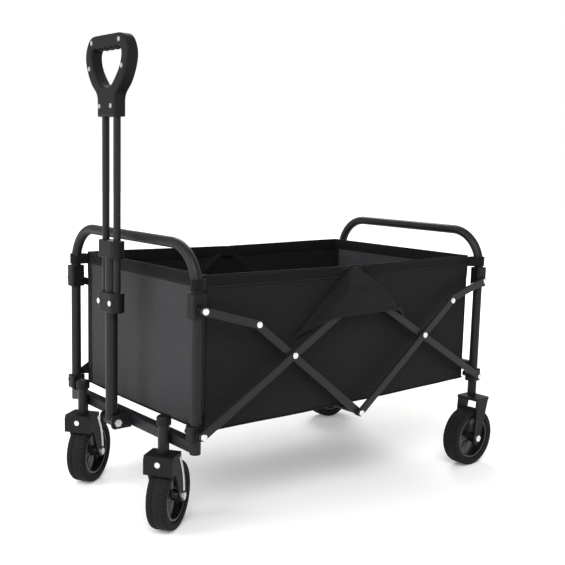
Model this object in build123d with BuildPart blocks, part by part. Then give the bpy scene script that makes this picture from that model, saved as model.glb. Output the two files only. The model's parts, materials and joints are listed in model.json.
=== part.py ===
"""Folding camp wagon: a steel frame on two swivelling and two fixed wheels, scissor-link sides
that let the ends close up, a fabric basket, and a pull handle that telescopes and tips forward.

Millimetres. X runs from the handle end (-X) to the back (+X), Y across, Z up from the ground.
The left side is -Y, seen from behind the wagon."""

from build123d import *
import os
from math import acos, atan2, cos, degrees, hypot, radians, sin

os.makedirs("parts", exist_ok=True)

# ---------------------------------------------------------------- end frames
POST_SPACING = 737.0  # front post centres to rear post centres
FRONT_X = -359.9  # places the middle of the whole object's box at X = 0
REAR_X = FRONT_X + POST_SPACING
MIDDLE_X = FRONT_X + POST_SPACING / 2
POST_Y = 215.0
TUBE_D = 19.0
TUBE_WALL = 1.2
TUBE_TOP_Z = 510.0  # centre of the hoop's top run
TUBE_BEND = 75.0
POST_BOTTOM_Z = 158.0
BAR_SIZE = 20.0
BAR_WALL = 1.5
BAR_CORNER_R = 2.0
FRONT_BAR_Z = 171.0
REAR_BAR_Z = 216.6  # just above the fittings at the posts' feet
REAR_BAR_D = 16.0

# ---------------------------------------------------------------- plastic fittings on the posts
FITTING_LENGTH = 28.0
FITTING_WIDTH = 24.0
FITTING_ROUND = 5.0
FITTING_EDGE = 1.5
UPPER_FITTING = (391.0, 433.0)
LOWER_FITTING = (181.6, 208.0)
BOSS_R = 9.0
KNOB_R = 6.0  # closes the inner end of a foot's pivot
KNOB_LENGTH = 12.0

# ---------------------------------------------------------------- folding side links
LOWER_PIVOT_Z = 193.3
UPPER_PIVOT_Z = 405.0
LONG_LOWER = 226.5  # long link, post pivot to crossing
LONG_UPPER = 201.3  # long link, crossing to top of the arch, which stands over the middle
CROSS_UPPER = 104.5  # crossing link, crossing to its upper end
CROSS_LOWER = 219.3  # crossing link, crossing to the bottom centre
LINK_WIDTH = 15.0
LINK_THICK = 6.0
LINK_EDGE = 1.6
INNER_FACE = 227.4  # Y of the inner link layer's inner face
LAYER_GAP = 0.6
OUTER_FACE = INNER_FACE + LINK_THICK + LAYER_GAP
OUTSIDE = OUTER_FACE + LINK_THICK
PIN_R = 3.0
PIN_FIT = 0.05  # radial clearance of a pin in its hole
HEAD_R = 6.0
HEAD_THICK = 2.6
HEAD_CROWN = 1.5
TAIL_THICK = 1.6
SMALL_HEAD_R = 5.0
SMALL_HEAD_THICK = 2.0
FACE_GAP = 0.3
CENTRE_ROD_D = 10.0

# ---------------------------------------------------------------- wheels and forks
WHEEL_R = 62.5
WHEEL_WIDTH = 38.0
TYRE_SHOULDER = 7.0
TREAD_GROOVE = 2.4
HUB_R = 47.0
HUB_RIM = 5.0
HUB_WIDTH = 32.0
HUB_BOSS_R = 11.0
HUB_BOSS_WIDTH = 42.0
HUB_WEB = 6.0
RIBS = 5
RIB_THICK = 9.0
RIB_WIDTH = 22.0
AXLE_R = 4.0
NUT_R = 7.5
NUT_THICK = 4.0
FORK_CLEARANCE = 3.5
FORK_LEG = 4.5
FORK_PLATE = 5.0
FORK_CORNER = 3.0
FORK_EYE_R = 10.0
REAR_FORK_TOP_Z = 150.0
REAR_PLATE = (-14.0, 30.0)  # behind and in front of the post
CASTER_FORK_TOP_Z = 146.0
CASTER_PLATE = (-26.0, 18.0)
CASTER_X = FRONT_X - (BAR_SIZE + 20.0) / 2  # the sleeve touches the front bar
CASTER_Y = 148.0
CASTER_TRAIL = 24.0
CASTER_TURN = 35.0  # both front wheels stand turned by this much
HOOD_BOTTOM_Z = 112.0
HOOD_RIVET_Z = 132.0
HOOD_RETURN = 16.0  # how far the hood's cheeks run back along the legs
SPIGOT_LENGTH = 12.0
STEM_COLLAR = 3.0
SLEEVE_D = 20.0
SLEEVE_WALL = 2.0
SLEEVE_Z = (150.0, 203.0)
CAP_R = 13.0
CAP_EDGE = 6.0
CAP_Z = (197.0, 213.0)
STEM_R = SLEEVE_D / 2 - SLEEVE_WALL - 0.05
STEM_TOP_Z = 195.0
REAR_AXLE_LEAD = 21.5  # rear axles stand this far in front of the rear posts
REAR_WHEEL_Y = 226.0

# ---------------------------------------------------------------- handle
HANDLE_X = FRONT_X - 39.0
HANDLE_PIVOT_Z = 171.0
CENTRE_TUBE_D = 22.0
CENTRE_TUBE_TOP_Z = 486.0
BARREL_R = 9.0
BRACKET_INSIDE = 19.0
BRACKET_WALL = 3.0
BRACKET_Z = (159.0, 185.0)
BRACKET_FRONT = 12.0
BRACKET_EDGE = 8.0
ROD_D = 13.0
ROD_Y = 20.0
ROD_Z = (384.0, 742.0)
GUIDE_Z = (472.0, 503.0)
SLIDER_Z = (374.0, 410.0)
SLIDER_RIVET_Z = 392.0
SLIDER_RIVET_R = 2.0
SLIDER_RIVET_DEEP = 5.0
BLOCK_LENGTH = 64.0
BLOCK_WIDTH = 28.0
BLOCK_EDGE = 1.5
GRIP_Z = (720.0, 860.0)
GRIP_THICK = 25.0
NECK_WIDTH = 60.0
GRIP_FRONT_X = HANDLE_X - GRIP_THICK / 2
GRIP_EDGE = 5.0
NECK_HEIGHT = 26.0
# The right half of the grip's outline and of its hand hole, as (across, height above its foot).
GRIP_SIDE = ((46, 50), (67, 80), (73, 106), (62, 131))
GRIP_TOP_HALF = 38.0
HOLE_FOOT = 50.0
HOLE_SIDE = ((31, 66), (51, 94), (52, 110))
HOLE_TOP = 118.0
FINGER_BUMP_R = 7.0
FINGER_BUMP_Z = 122.0
FINGER_BUMPS = (-28.0, -9.5, 9.5, 28.0)
GRIP_SCREWS = ((-48, 128), (48, 128), (-57, 84), (57, 84), (-ROD_Y, 18), (ROD_Y, 18))
SCREW_HEAD_R = 4.2
SCREW_HEAD_STANDS = 0.8
SCREW_FIT = 0.1
SCREW_R = 1.6
SCREW_SINK = 1.2
SCREW_DEPTH = 5.5

# ---------------------------------------------------------------- fabric basket
PANEL_THICK = 3.0
BASKET_FRONT_X = FRONT_X + 22.5
BASKET_REAR_X = REAR_X - 30.5
BASKET_Y = 208.0
BASKET_BOTTOM_Z = 192.0
BASKET_TOP_Z = 460.0

FRONT, REAR = -1, 1


def save(piece, name):
    """Label one finished piece and write it to its own file."""
    piece.part.label = name
    export_step(piece.part, f"parts/{name}.step")


# The side linkage, as (distance from the middle, height) of the front half's pivots. Both long
# links reach from a post's foot to the arch over the middle, and the crossing links to the
# point below it.
long_angle = acos(POST_SPACING / 2 / (LONG_LOWER + LONG_UPPER))
cross_angle = acos(LONG_UPPER / CROSS_LOWER * cos(long_angle))
lower_pivot = (-POST_SPACING / 2, LOWER_PIVOT_Z)
upper_pivot = (-POST_SPACING / 2, UPPER_PIVOT_Z)
crossing = (
    lower_pivot[0] + LONG_LOWER * cos(long_angle),
    lower_pivot[1] + LONG_LOWER * sin(long_angle),
)
arch_top = (
    crossing[0] + LONG_UPPER * cos(long_angle),
    crossing[1] + LONG_UPPER * sin(long_angle),
)
cross_top = (
    crossing[0] - CROSS_UPPER * cos(cross_angle),
    crossing[1] + CROSS_UPPER * sin(cross_angle),
)
cross_foot = (
    crossing[0] + CROSS_LOWER * cos(cross_angle),
    crossing[1] - CROSS_LOWER * sin(cross_angle),
)


def at(pivot, end):
    """A pivot's X and Z in the wagon, for the front or the rear half."""
    return (MIDDLE_X - end * pivot[0], pivot[1])


def left_face(y):
    """The upright plane on the left side, Y = -y, with X along the wagon and Y upwards."""
    return Plane(origin=(0, -y, 0), x_dir=(1, 0, 0), z_dir=(0, -1, 0))


def left_and_right(piece, name):
    """Write a left-hand piece and its mirror image as two nodes."""
    save(piece, f"{name}_left")
    with BuildPart() as other:
        add(piece.part)
        mirror(about=Plane.XZ, mode=Mode.REPLACE)
    save(other, f"{name}_right")


# ---------------------------------------------------------------- end frame tubes
def hoop(x, foot_z):
    """One end frame: two posts joined by a top run through two wide bends."""
    with BuildPart() as tube:
        with BuildLine(Plane.YZ.offset(x)):
            FilletPolyline(
                (-POST_Y, foot_z),
                (-POST_Y, TUBE_TOP_Z),
                (POST_Y, TUBE_TOP_Z),
                (POST_Y, foot_z),
                radius=TUBE_BEND,
            )
        with BuildSketch(Plane.XY.offset(foot_z)):
            with Locations((x, -POST_Y)):
                Circle(TUBE_D / 2)
                Circle(TUBE_D / 2 - TUBE_WALL, mode=Mode.SUBTRACT)
        sweep()
    return tube


save(hoop(FRONT_X, POST_BOTTOM_Z), "front_hoop")
save(hoop(REAR_X, REAR_FORK_TOP_Z), "rear_hoop")


def end_cuts(x, z):
    """Cut a cross bar's ends round to fit the posts, and clear what is outside them."""
    for side in (-1, 1):
        with Locations((x, side * POST_Y, z)):
            Cylinder(TUBE_D / 2, 2 * BAR_SIZE, mode=Mode.SUBTRACT)
        with Locations((x, side * (POST_Y + BAR_SIZE), z)):
            Box(2 * BAR_SIZE, 2 * BAR_SIZE, 2 * BAR_SIZE, mode=Mode.SUBTRACT)


with BuildPart() as front_bar:
    with BuildSketch(Plane.XZ.offset(-POST_Y)):
        with Locations((FRONT_X, FRONT_BAR_Z)):
            RectangleRounded(BAR_SIZE, BAR_SIZE, BAR_CORNER_R)
            inner = BAR_SIZE - 2 * BAR_WALL
            RectangleRounded(inner, inner, BAR_CORNER_R / 2, mode=Mode.SUBTRACT)
    extrude(amount=2 * POST_Y)
    end_cuts(FRONT_X, FRONT_BAR_Z)
save(front_bar, "front_bar")

with BuildPart() as rear_bar:
    with BuildSketch(Plane.XZ.offset(-POST_Y)):
        with Locations((REAR_X, REAR_BAR_Z)):
            Circle(REAR_BAR_D / 2)
            Circle(REAR_BAR_D / 2 - TUBE_WALL, mode=Mode.SUBTRACT)
    extrude(amount=2 * POST_Y)
    end_cuts(REAR_X, REAR_BAR_Z)
save(rear_bar, "rear_bar")


# ---------------------------------------------------------------- plastic fittings
def fitting(x, span, pivot_z, reach, knob=0):
    """A pair of sleeves round the posts, each with a boss that carries a link's pin at Y = reach
    and, at a post's foot, a knob that stands inwards."""
    low, high = span
    with BuildPart() as sleeve:
        with BuildSketch(Plane.XY.offset(low)):
            with Locations((x, -POST_Y)):
                RectangleRounded(FITTING_LENGTH, FITTING_WIDTH, FITTING_ROUND)
        extrude(amount=high - low)
        fillet(sleeve.faces().filter_by(Axis.Z).edges(), FITTING_EDGE)
        with BuildSketch(left_face(POST_Y)):
            with Locations((x, pivot_z)):
                Circle(BOSS_R)
        extrude(amount=reach - POST_Y)
        if knob:
            with BuildSketch(left_face(POST_Y - FITTING_WIDTH / 2 - knob)):
                with Locations((x, pivot_z)):
                    Circle(KNOB_R)
            extrude(amount=knob + FITTING_EDGE)
        with Locations((x, -POST_Y, (low + high) / 2)):
            Cylinder(TUBE_D / 2, high - low + 2, mode=Mode.SUBTRACT)
        with BuildSketch(left_face(pin_seat)):
            with Locations((x, pivot_z)):
                Circle(PIN_R + PIN_FIT)
        extrude(amount=reach - pin_seat, mode=Mode.SUBTRACT)
        mirror(about=Plane.XZ)
    return sleeve


pin_seat = POST_Y + TUBE_D / 2 + 0.4  # just clear of the post's wall
outer_boss = OUTER_FACE - FACE_GAP
inner_boss = INNER_FACE - FACE_GAP
save(fitting(FRONT_X, UPPER_FITTING, UPPER_PIVOT_Z, outer_boss), "front_corner_fittings")
foot_fittings = fitting(FRONT_X, LOWER_FITTING, LOWER_PIVOT_Z, outer_boss, KNOB_LENGTH)
save(foot_fittings, "front_pivot_fittings")
save(fitting(REAR_X, UPPER_FITTING, UPPER_PIVOT_Z, inner_boss), "rear_corner_fittings")
foot_fittings = fitting(REAR_X, LOWER_FITTING, LOWER_PIVOT_Z, inner_boss, KNOB_LENGTH)
save(foot_fittings, "rear_pivot_fittings")


# ---------------------------------------------------------------- side links
def link(first, last, inner_face, holes):
    """A flat bar with round ends on the left side, from one pivot to another, drilled for pins."""
    length = hypot(last[0] - first[0], last[1] - first[1])
    angle = degrees(atan2(last[1] - first[1], last[0] - first[0]))
    with BuildPart() as bar:
        with BuildSketch(left_face(inner_face)):
            with Locations(((first[0] + last[0]) / 2, (first[1] + last[1]) / 2)):
                SlotCenterToCenter(length, LINK_WIDTH, rotation=angle)
            with Locations(*holes):
                Circle(PIN_R + PIN_FIT, mode=Mode.SUBTRACT)
        extrude(amount=LINK_THICK)
        rims = [face.outer_wire().edges() for face in bar.faces().filter_by(Axis.Y)]
        fillet([edge for rim in rims for edge in rim], LINK_EDGE)
    return bar


for end, word in ((FRONT, "front"), (REAR, "rear")):
    long_face, cross_face = (
        (OUTER_FACE, INNER_FACE) if end == FRONT else (INNER_FACE, OUTER_FACE)
    )
    foot, middle, top = at(lower_pivot, end), at(crossing, end), at(arch_top, end)
    left_and_right(link(foot, top, long_face, (foot, middle, top)), f"{word}_long_link")
    foot, top = at(cross_foot, end), at(cross_top, end)
    left_and_right(link(foot, top, cross_face, (foot, middle, top)), f"{word}_cross_link")
    post = at(upper_pivot, end)
    with BuildPart() as short_links:
        add(link(post, top, long_face, (post, top)).part)
        mirror(about=Plane.XZ)
    save(short_links, f"{word}_short_links")


# ---------------------------------------------------------------- pivot rivets
def rivets(pins):
    """Domed rivets on both sides, one for each (place, inner end, face under the head, tail)."""
    with BuildPart() as group:
        for place, inner, under_head, tail in pins:
            with BuildSketch(left_face(inner)):
                with Locations(place):
                    Circle(PIN_R)
            extrude(amount=under_head - inner)
            with BuildSketch(left_face(under_head)):
                with Locations(place):
                    Circle(HEAD_R)
            extrude(amount=HEAD_THICK)
            if tail:
                with BuildSketch(left_face(inner)):
                    with Locations(place):
                        Circle(SMALL_HEAD_R)
                extrude(amount=-TAIL_THICK)
        crowns = group.faces().filter_by(Axis.Y).filter_by(
            lambda face: any(
                abs(face.center().Y + under_head + HEAD_THICK) < 0.01
                for _, _, under_head, _ in pins
            )
        )
        fillet(crowns.edges(), HEAD_CROWN)
        mirror(about=Plane.XZ)
    return group


over_outer = OUTSIDE + FACE_GAP
over_inner = OUTER_FACE - LAYER_GAP + FACE_GAP
under_inner = INNER_FACE - FACE_GAP
save(
    rivets(
        [
            (at(lower_pivot, FRONT), pin_seat, over_outer, False),
            (at(upper_pivot, FRONT), pin_seat, over_outer, False),
        ]
    ),
    "front_post_rivets",
)
save(
    rivets(
        [
            (at(lower_pivot, REAR), pin_seat, over_inner, False),
            (at(upper_pivot, REAR), pin_seat, over_inner, False),
        ]
    ),
    "rear_post_rivets",
)
save(
    rivets(
        [
            (at(crossing, FRONT), under_inner, over_outer, True),
            (at(arch_top, FRONT), under_inner, over_outer, True),
        ]
    ),
    "front_link_rivets",
)
save(rivets([(at(crossing, REAR), under_inner, over_outer, True)]), "rear_link_rivets")
save(rivets([(at(cross_top, FRONT), OUTER_FACE, OUTSIDE, False)]), "front_short_link_rivets")
save(
    rivets(
        [
            (at(cross_top, REAR), OUTER_FACE, OUTSIDE, False),
            (at(cross_foot, REAR), OUTER_FACE, OUTSIDE, False),
        ]
    ),
    "rear_cross_link_rivets",
)

# The centre rod joins the two front crossing links under the floor and keeps the sides together.
with BuildPart() as centre_rod:
    with BuildSketch(left_face(INNER_FACE)):
        with Locations(at(cross_foot, FRONT)):
            Circle(CENTRE_ROD_D / 2)
    extrude(amount=-2 * INNER_FACE)
save(centre_rod, "bottom_centre_rod")


# ---------------------------------------------------------------- wheels
def wheel_frame(x, y, turn):
    """A wheel's own frame on the ground: X the way it trails, Y along its axle."""
    heading = radians(turn)
    return Plane(origin=(x, y, 0), x_dir=(cos(heading), sin(heading), 0), z_dir=(0, 0, 1))


def beside(frame, y):
    """The upright plane at distance y along a wheel frame's axle, its normal towards -Y."""
    return Plane(
        origin=frame.from_local_coords(Vector(0, y, 0)), x_dir=frame.x_dir, z_dir=-frame.y_dir
    )


def tyre(frame, trail):
    """A solid tread with round shoulders and two grooves, turned round its axle."""
    centre = frame.from_local_coords(Vector(trail, 0, WHEEL_R))
    section = Plane(origin=centre, x_dir=frame.y_dir, z_dir=frame.x_dir)
    with BuildPart() as ring:
        with BuildSketch(section):
            RectangleRounded(WHEEL_WIDTH, 2 * WHEEL_R, TYRE_SHOULDER)
            with Locations((0, (HUB_R - WHEEL_R) / 2)):
                Rectangle(WHEEL_WIDTH, WHEEL_R + HUB_R, mode=Mode.SUBTRACT)
            with Locations((-WHEEL_WIDTH / 6, WHEEL_R), (WHEEL_WIDTH / 6, WHEEL_R)):
                Rectangle(TREAD_GROOVE, 2 * TREAD_GROOVE, mode=Mode.SUBTRACT)
        revolve(axis=Axis(centre, frame.y_dir))
    return ring


def hub(frame, trail):
    """A moulded hub: rim, closed web, ribs on both faces and a bored boss."""
    with BuildPart() as wheel:
        for outside, inside, width in (
            (HUB_R, HUB_R - HUB_RIM, HUB_WIDTH),
            (HUB_R - HUB_RIM + 1, HUB_BOSS_R - 1, HUB_WEB),
            (HUB_BOSS_R, AXLE_R + PIN_FIT, HUB_BOSS_WIDTH),
        ):
            with BuildSketch(beside(frame, width / 2)):
                with Locations((trail, WHEEL_R)):
                    Circle(outside)
                    Circle(inside, mode=Mode.SUBTRACT)
            extrude(amount=width)
        reach = (HUB_BOSS_R - 1, HUB_R - HUB_RIM + 1)
        with BuildSketch(beside(frame, RIB_WIDTH / 2)):
            with Locations((trail, WHEEL_R)):
                with PolarLocations(sum(reach) / 2, RIBS):
                    Rectangle(reach[1] - reach[0], RIB_THICK)
        extrude(amount=RIB_WIDTH)
    return wheel


def axle_bolt(frame, trail, hood_front=None):
    """The axle with a hexagonal head at each end, and the rivet in a caster's hood if it has one."""
    reach = WHEEL_WIDTH / 2 + FORK_CLEARANCE + FORK_LEG
    with BuildPart() as bolt:
        with BuildSketch(beside(frame, reach)):
            with Locations((trail, WHEEL_R)):
                Circle(AXLE_R)
        extrude(amount=2 * reach)
        for start in (reach + NUT_THICK, -reach):
            with BuildSketch(beside(frame, start)):
                with Locations((trail, WHEEL_R)):
                    RegularPolygon(NUT_R, 6)
            extrude(amount=NUT_THICK)
        if hood_front is not None:
            face = Plane(
                origin=frame.from_local_coords(Vector(hood_front, 0, 0)),
                x_dir=-frame.y_dir,
                z_dir=-frame.x_dir,
            )
            with BuildSketch(face):
                with Locations((0, HOOD_RIVET_Z)):
                    Circle(SMALL_HEAD_R)
            extrude(amount=SMALL_HEAD_THICK)
    return bolt


def fork(frame, trail, plate, top_z, hooded, spigot=None):
    """A moulded fork: top plate, two legs down to the axle, and a front hood on a caster."""
    inside = WHEEL_WIDTH / 2 + FORK_CLEARANCE
    outside = inside + FORK_LEG
    length = plate[1] - plate[0]
    with BuildPart() as body:
        with BuildSketch(frame.offset(top_z - FORK_PLATE)):
            with Locations((sum(plate) / 2, 0)):
                RectangleRounded(length, 2 * outside, FORK_CORNER)
        extrude(amount=FORK_PLATE)
        for start in (outside, -inside):
            with BuildSketch(beside(frame, start)):
                with Locations((trail, WHEEL_R)):
                    Circle(FORK_EYE_R)
                with Locations((sum(plate) / 2, top_z - FORK_PLATE / 2)):
                    Rectangle(length - 8, FORK_PLATE)
                make_hull()
                with Locations((trail, WHEEL_R)):
                    Circle(AXLE_R, mode=Mode.SUBTRACT)
            extrude(amount=FORK_LEG)
        if hooded:
            with BuildSketch(frame.offset(HOOD_BOTTOM_Z)):
                with Locations((plate[0] + FORK_LEG / 2, 0)):
                    Rectangle(FORK_LEG, 2 * outside - 6)
                for side in (-1, 1):
                    with Locations((plate[0] + HOOD_RETURN / 2, side * (outside - FORK_LEG / 2))):
                        Rectangle(HOOD_RETURN, FORK_LEG)
            extrude(amount=top_z - HOOD_BOTTOM_Z - FORK_PLATE)
        if spigot is not None:
            with BuildSketch(Plane.XY.offset(top_z)):
                with Locations(spigot):
                    Circle(TUBE_D / 2 - TUBE_WALL)
            extrude(amount=SPIGOT_LENGTH)
    return body


for side, word in ((-1, "left"), (1, "right")):
    caster = wheel_frame(CASTER_X, side * CASTER_Y, CASTER_TURN)
    save(tyre(caster, CASTER_TRAIL), f"front_tyre_{word}")
    save(hub(caster, CASTER_TRAIL), f"front_hub_{word}")
    save(
        fork(caster, CASTER_TRAIL, CASTER_PLATE, CASTER_FORK_TOP_Z, hooded=True),
        f"front_fork_{word}",
    )
    save(axle_bolt(caster, CASTER_TRAIL, CASTER_PLATE[0]), f"front_fork_bolts_{word}")
    with BuildPart() as stem:
        for radius, low, high in (
            (STEM_R + STEM_COLLAR, CASTER_FORK_TOP_Z, SLEEVE_Z[0] - FACE_GAP),
            (STEM_R, CASTER_FORK_TOP_Z, STEM_TOP_Z),
        ):
            with BuildSketch(Plane.XY.offset(low)):
                with Locations((CASTER_X, side * CASTER_Y)):
                    Circle(radius)
            extrude(amount=high - low)
    save(stem, f"caster_stem_{word}")

    rear = wheel_frame(REAR_X, side * REAR_WHEEL_Y, 180)
    save(tyre(rear, REAR_AXLE_LEAD), f"rear_tyre_{word}")
    save(hub(rear, REAR_AXLE_LEAD), f"rear_hub_{word}")
    save(
        fork(
            rear,
            REAR_AXLE_LEAD,
            REAR_PLATE,
            REAR_FORK_TOP_Z,
            hooded=False,
            spigot=(REAR_X, side * POST_Y),
        ),
        f"rear_fork_{word}",
    )

with BuildPart() as rear_axles:
    add(axle_bolt(wheel_frame(REAR_X, -REAR_WHEEL_Y, 180), REAR_AXLE_LEAD).part)
    mirror(about=Plane.XZ)
save(rear_axles, "rear_axle_bolts")

with BuildPart() as sleeves:
    with BuildSketch(Plane.XY.offset(SLEEVE_Z[0])):
        with Locations((CASTER_X, -CASTER_Y), (CASTER_X, CASTER_Y)):
            Circle(SLEEVE_D / 2)
            Circle(SLEEVE_D / 2 - SLEEVE_WALL, mode=Mode.SUBTRACT)
    extrude(amount=SLEEVE_Z[1] - SLEEVE_Z[0])
save(sleeves, "caster_sleeves")

with BuildPart() as caps:
    with BuildSketch(Plane.XY.offset(CAP_Z[0])):
        with Locations((CASTER_X, -CASTER_Y), (CASTER_X, CASTER_Y)):
            Circle(CAP_R)
    extrude(amount=CAP_Z[1] - CAP_Z[0])
    fillet(caps.faces().sort_by(Axis.Z)[-2:].edges(), CAP_EDGE)
    with BuildSketch(Plane.XY.offset(CAP_Z[0])):
        with Locations((CASTER_X, -CASTER_Y), (CASTER_X, CASTER_Y)):
            Circle(SLEEVE_D / 2)
    extrude(amount=SLEEVE_Z[1] - CAP_Z[0], mode=Mode.SUBTRACT)
    # The cap stands off the front bar's face.
    with Locations((FRONT_X, 0, CAP_Z[0])):
        Box(BAR_SIZE, 2 * POST_Y, 2 * BAR_SIZE, mode=Mode.SUBTRACT)
save(caps, "caster_caps")


# ---------------------------------------------------------------- handle
def handle_face(x):
    """The upright plane across the wagon at X = x, its normal towards the front."""
    return Plane(origin=(x, 0, 0), x_dir=(0, -1, 0), z_dir=(-1, 0, 0))


bar_face = FRONT_X - BAR_SIZE / 2
bracket_front = HANDLE_X - BRACKET_FRONT
bracket_half = BRACKET_INSIDE + BRACKET_WALL
with BuildPart() as bracket:
    with BuildSketch(Plane.XZ.offset(-bracket_half)):
        with BuildLine():
            Polyline(
                (bar_face, BRACKET_Z[0]),
                (bracket_front, BRACKET_Z[0]),
                (bracket_front, BRACKET_Z[1]),
                (bar_face, BRACKET_Z[1]),
                close=True,
            )
        make_face()
        with Locations((HANDLE_X, HANDLE_PIVOT_Z)):
            Circle(AXLE_R, mode=Mode.SUBTRACT)
    extrude(amount=2 * bracket_half)
    fillet(bracket.faces().sort_by(Axis.X)[0].edges().filter_by(Axis.Y), BRACKET_EDGE)
    with Locations((bar_face - BRACKET_WALL, 0, HANDLE_PIVOT_Z)):
        Box(
            80,
            2 * BRACKET_INSIDE,
            80,
            align=(Align.MAX, Align.CENTER, Align.CENTER),
            mode=Mode.SUBTRACT,
        )
save(bracket, "handle_bracket")

with BuildPart() as handle_bolt:
    with BuildSketch(left_face(bracket_half)):
        with Locations((HANDLE_X, HANDLE_PIVOT_Z)):
            Circle(AXLE_R)
    extrude(amount=-2 * bracket_half)
    for start in (bracket_half, -bracket_half - NUT_THICK):
        with BuildSketch(left_face(start)):
            with Locations((HANDLE_X, HANDLE_PIVOT_Z)):
                RegularPolygon(NUT_R, 6)
        extrude(amount=NUT_THICK)
save(handle_bolt, "handle_bolt")

barrel_half = BRACKET_INSIDE - FACE_GAP
with BuildPart() as barrel:
    with BuildSketch(left_face(barrel_half)):
        with Locations((HANDLE_X, HANDLE_PIVOT_Z)):
            Circle(BARREL_R)
            Circle(AXLE_R + PIN_FIT, mode=Mode.SUBTRACT)
    extrude(amount=-2 * barrel_half)
save(barrel, "handle_barrel")

with BuildPart() as centre_tube:
    with BuildSketch(Plane.XY.offset(HANDLE_PIVOT_Z)):
        with Locations((HANDLE_X, 0)):
            Circle(CENTRE_TUBE_D / 2)
            Circle(CENTRE_TUBE_D / 2 - TUBE_WALL, mode=Mode.SUBTRACT)
    extrude(amount=CENTRE_TUBE_TOP_Z - HANDLE_PIVOT_Z)
    with BuildSketch(left_face(CENTRE_TUBE_D)):
        with Locations((HANDLE_X, HANDLE_PIVOT_Z)):
            Circle(BARREL_R)
    extrude(amount=-2 * CENTRE_TUBE_D, mode=Mode.SUBTRACT)
    with Locations((HANDLE_X, 0, HANDLE_PIVOT_Z)):
        Box(2 * CENTRE_TUBE_D, 2 * CENTRE_TUBE_D, 4, mode=Mode.SUBTRACT)
save(centre_tube, "handle_centre_tube")


def block(span, tube_span, tube_r, rod_span, rod_r):
    """A moulded block round the centre tube and the two rods, with its bores."""
    low, high = span
    with BuildPart() as body:
        with BuildSketch(Plane.XY.offset(low)):
            with Locations((HANDLE_X, 0)):
                SlotOverall(BLOCK_LENGTH, BLOCK_WIDTH, rotation=90)
        extrude(amount=high - low)
        fillet(body.faces().filter_by(Axis.Z).edges(), BLOCK_EDGE)
        with BuildSketch(Plane.XY.offset(tube_span[0])):
            with Locations((HANDLE_X, 0)):
                Circle(tube_r)
        extrude(amount=tube_span[1] - tube_span[0], mode=Mode.SUBTRACT)
        with BuildSketch(Plane.XY.offset(rod_span[0])):
            with Locations((HANDLE_X, -ROD_Y), (HANDLE_X, ROD_Y)):
                Circle(rod_r)
        extrude(amount=rod_span[1] - rod_span[0], mode=Mode.SUBTRACT)
    return body


guide = block(
    GUIDE_Z,
    (GUIDE_Z[0], CENTRE_TUBE_TOP_Z),
    CENTRE_TUBE_D / 2,
    GUIDE_Z,
    ROD_D / 2 + PIN_FIT,
)
save(guide, "handle_guide")

slider_front = HANDLE_X - BLOCK_WIDTH / 2
slider_rivet_places = [(-ROD_Y, SLIDER_RIVET_Z), (ROD_Y, SLIDER_RIVET_Z)]
slider = block(
    SLIDER_Z,
    SLIDER_Z,
    CENTRE_TUBE_D / 2 + PIN_FIT,
    (ROD_Z[0], SLIDER_Z[1]),
    ROD_D / 2,
)
with BuildPart() as slider_drilled:
    add(slider.part)
    with BuildSketch(handle_face(slider_front + SLIDER_RIVET_DEEP)):
        with Locations(*slider_rivet_places):
            Circle(SLIDER_RIVET_R)
    extrude(amount=2 * SLIDER_RIVET_DEEP, mode=Mode.SUBTRACT)
save(slider_drilled, "handle_slider")

with BuildPart() as slider_rivets:
    for start, radius, amount in (
        (SLIDER_RIVET_DEEP, SLIDER_RIVET_R, SLIDER_RIVET_DEEP),
        (0, SMALL_HEAD_R, SMALL_HEAD_THICK),
    ):
        with BuildSketch(handle_face(slider_front + start)):
            with Locations(*slider_rivet_places):
                Circle(radius)
        extrude(amount=amount)
save(slider_rivets, "slider_rivets")

with BuildPart() as rods:
    with BuildSketch(Plane.XY.offset(ROD_Z[0])):
        with Locations((HANDLE_X, -ROD_Y), (HANDLE_X, ROD_Y)):
            Circle(ROD_D / 2)
            Circle(ROD_D / 2 - TUBE_WALL, mode=Mode.SUBTRACT)
    extrude(amount=ROD_Z[1] - ROD_Z[0])
save(rods, "handle_rods")


def above_foot(*points):
    """Points given as (across, height above the grip's foot), in the wagon's heights."""
    return [(across, GRIP_Z[0] + height) for across, height in points]


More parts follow.
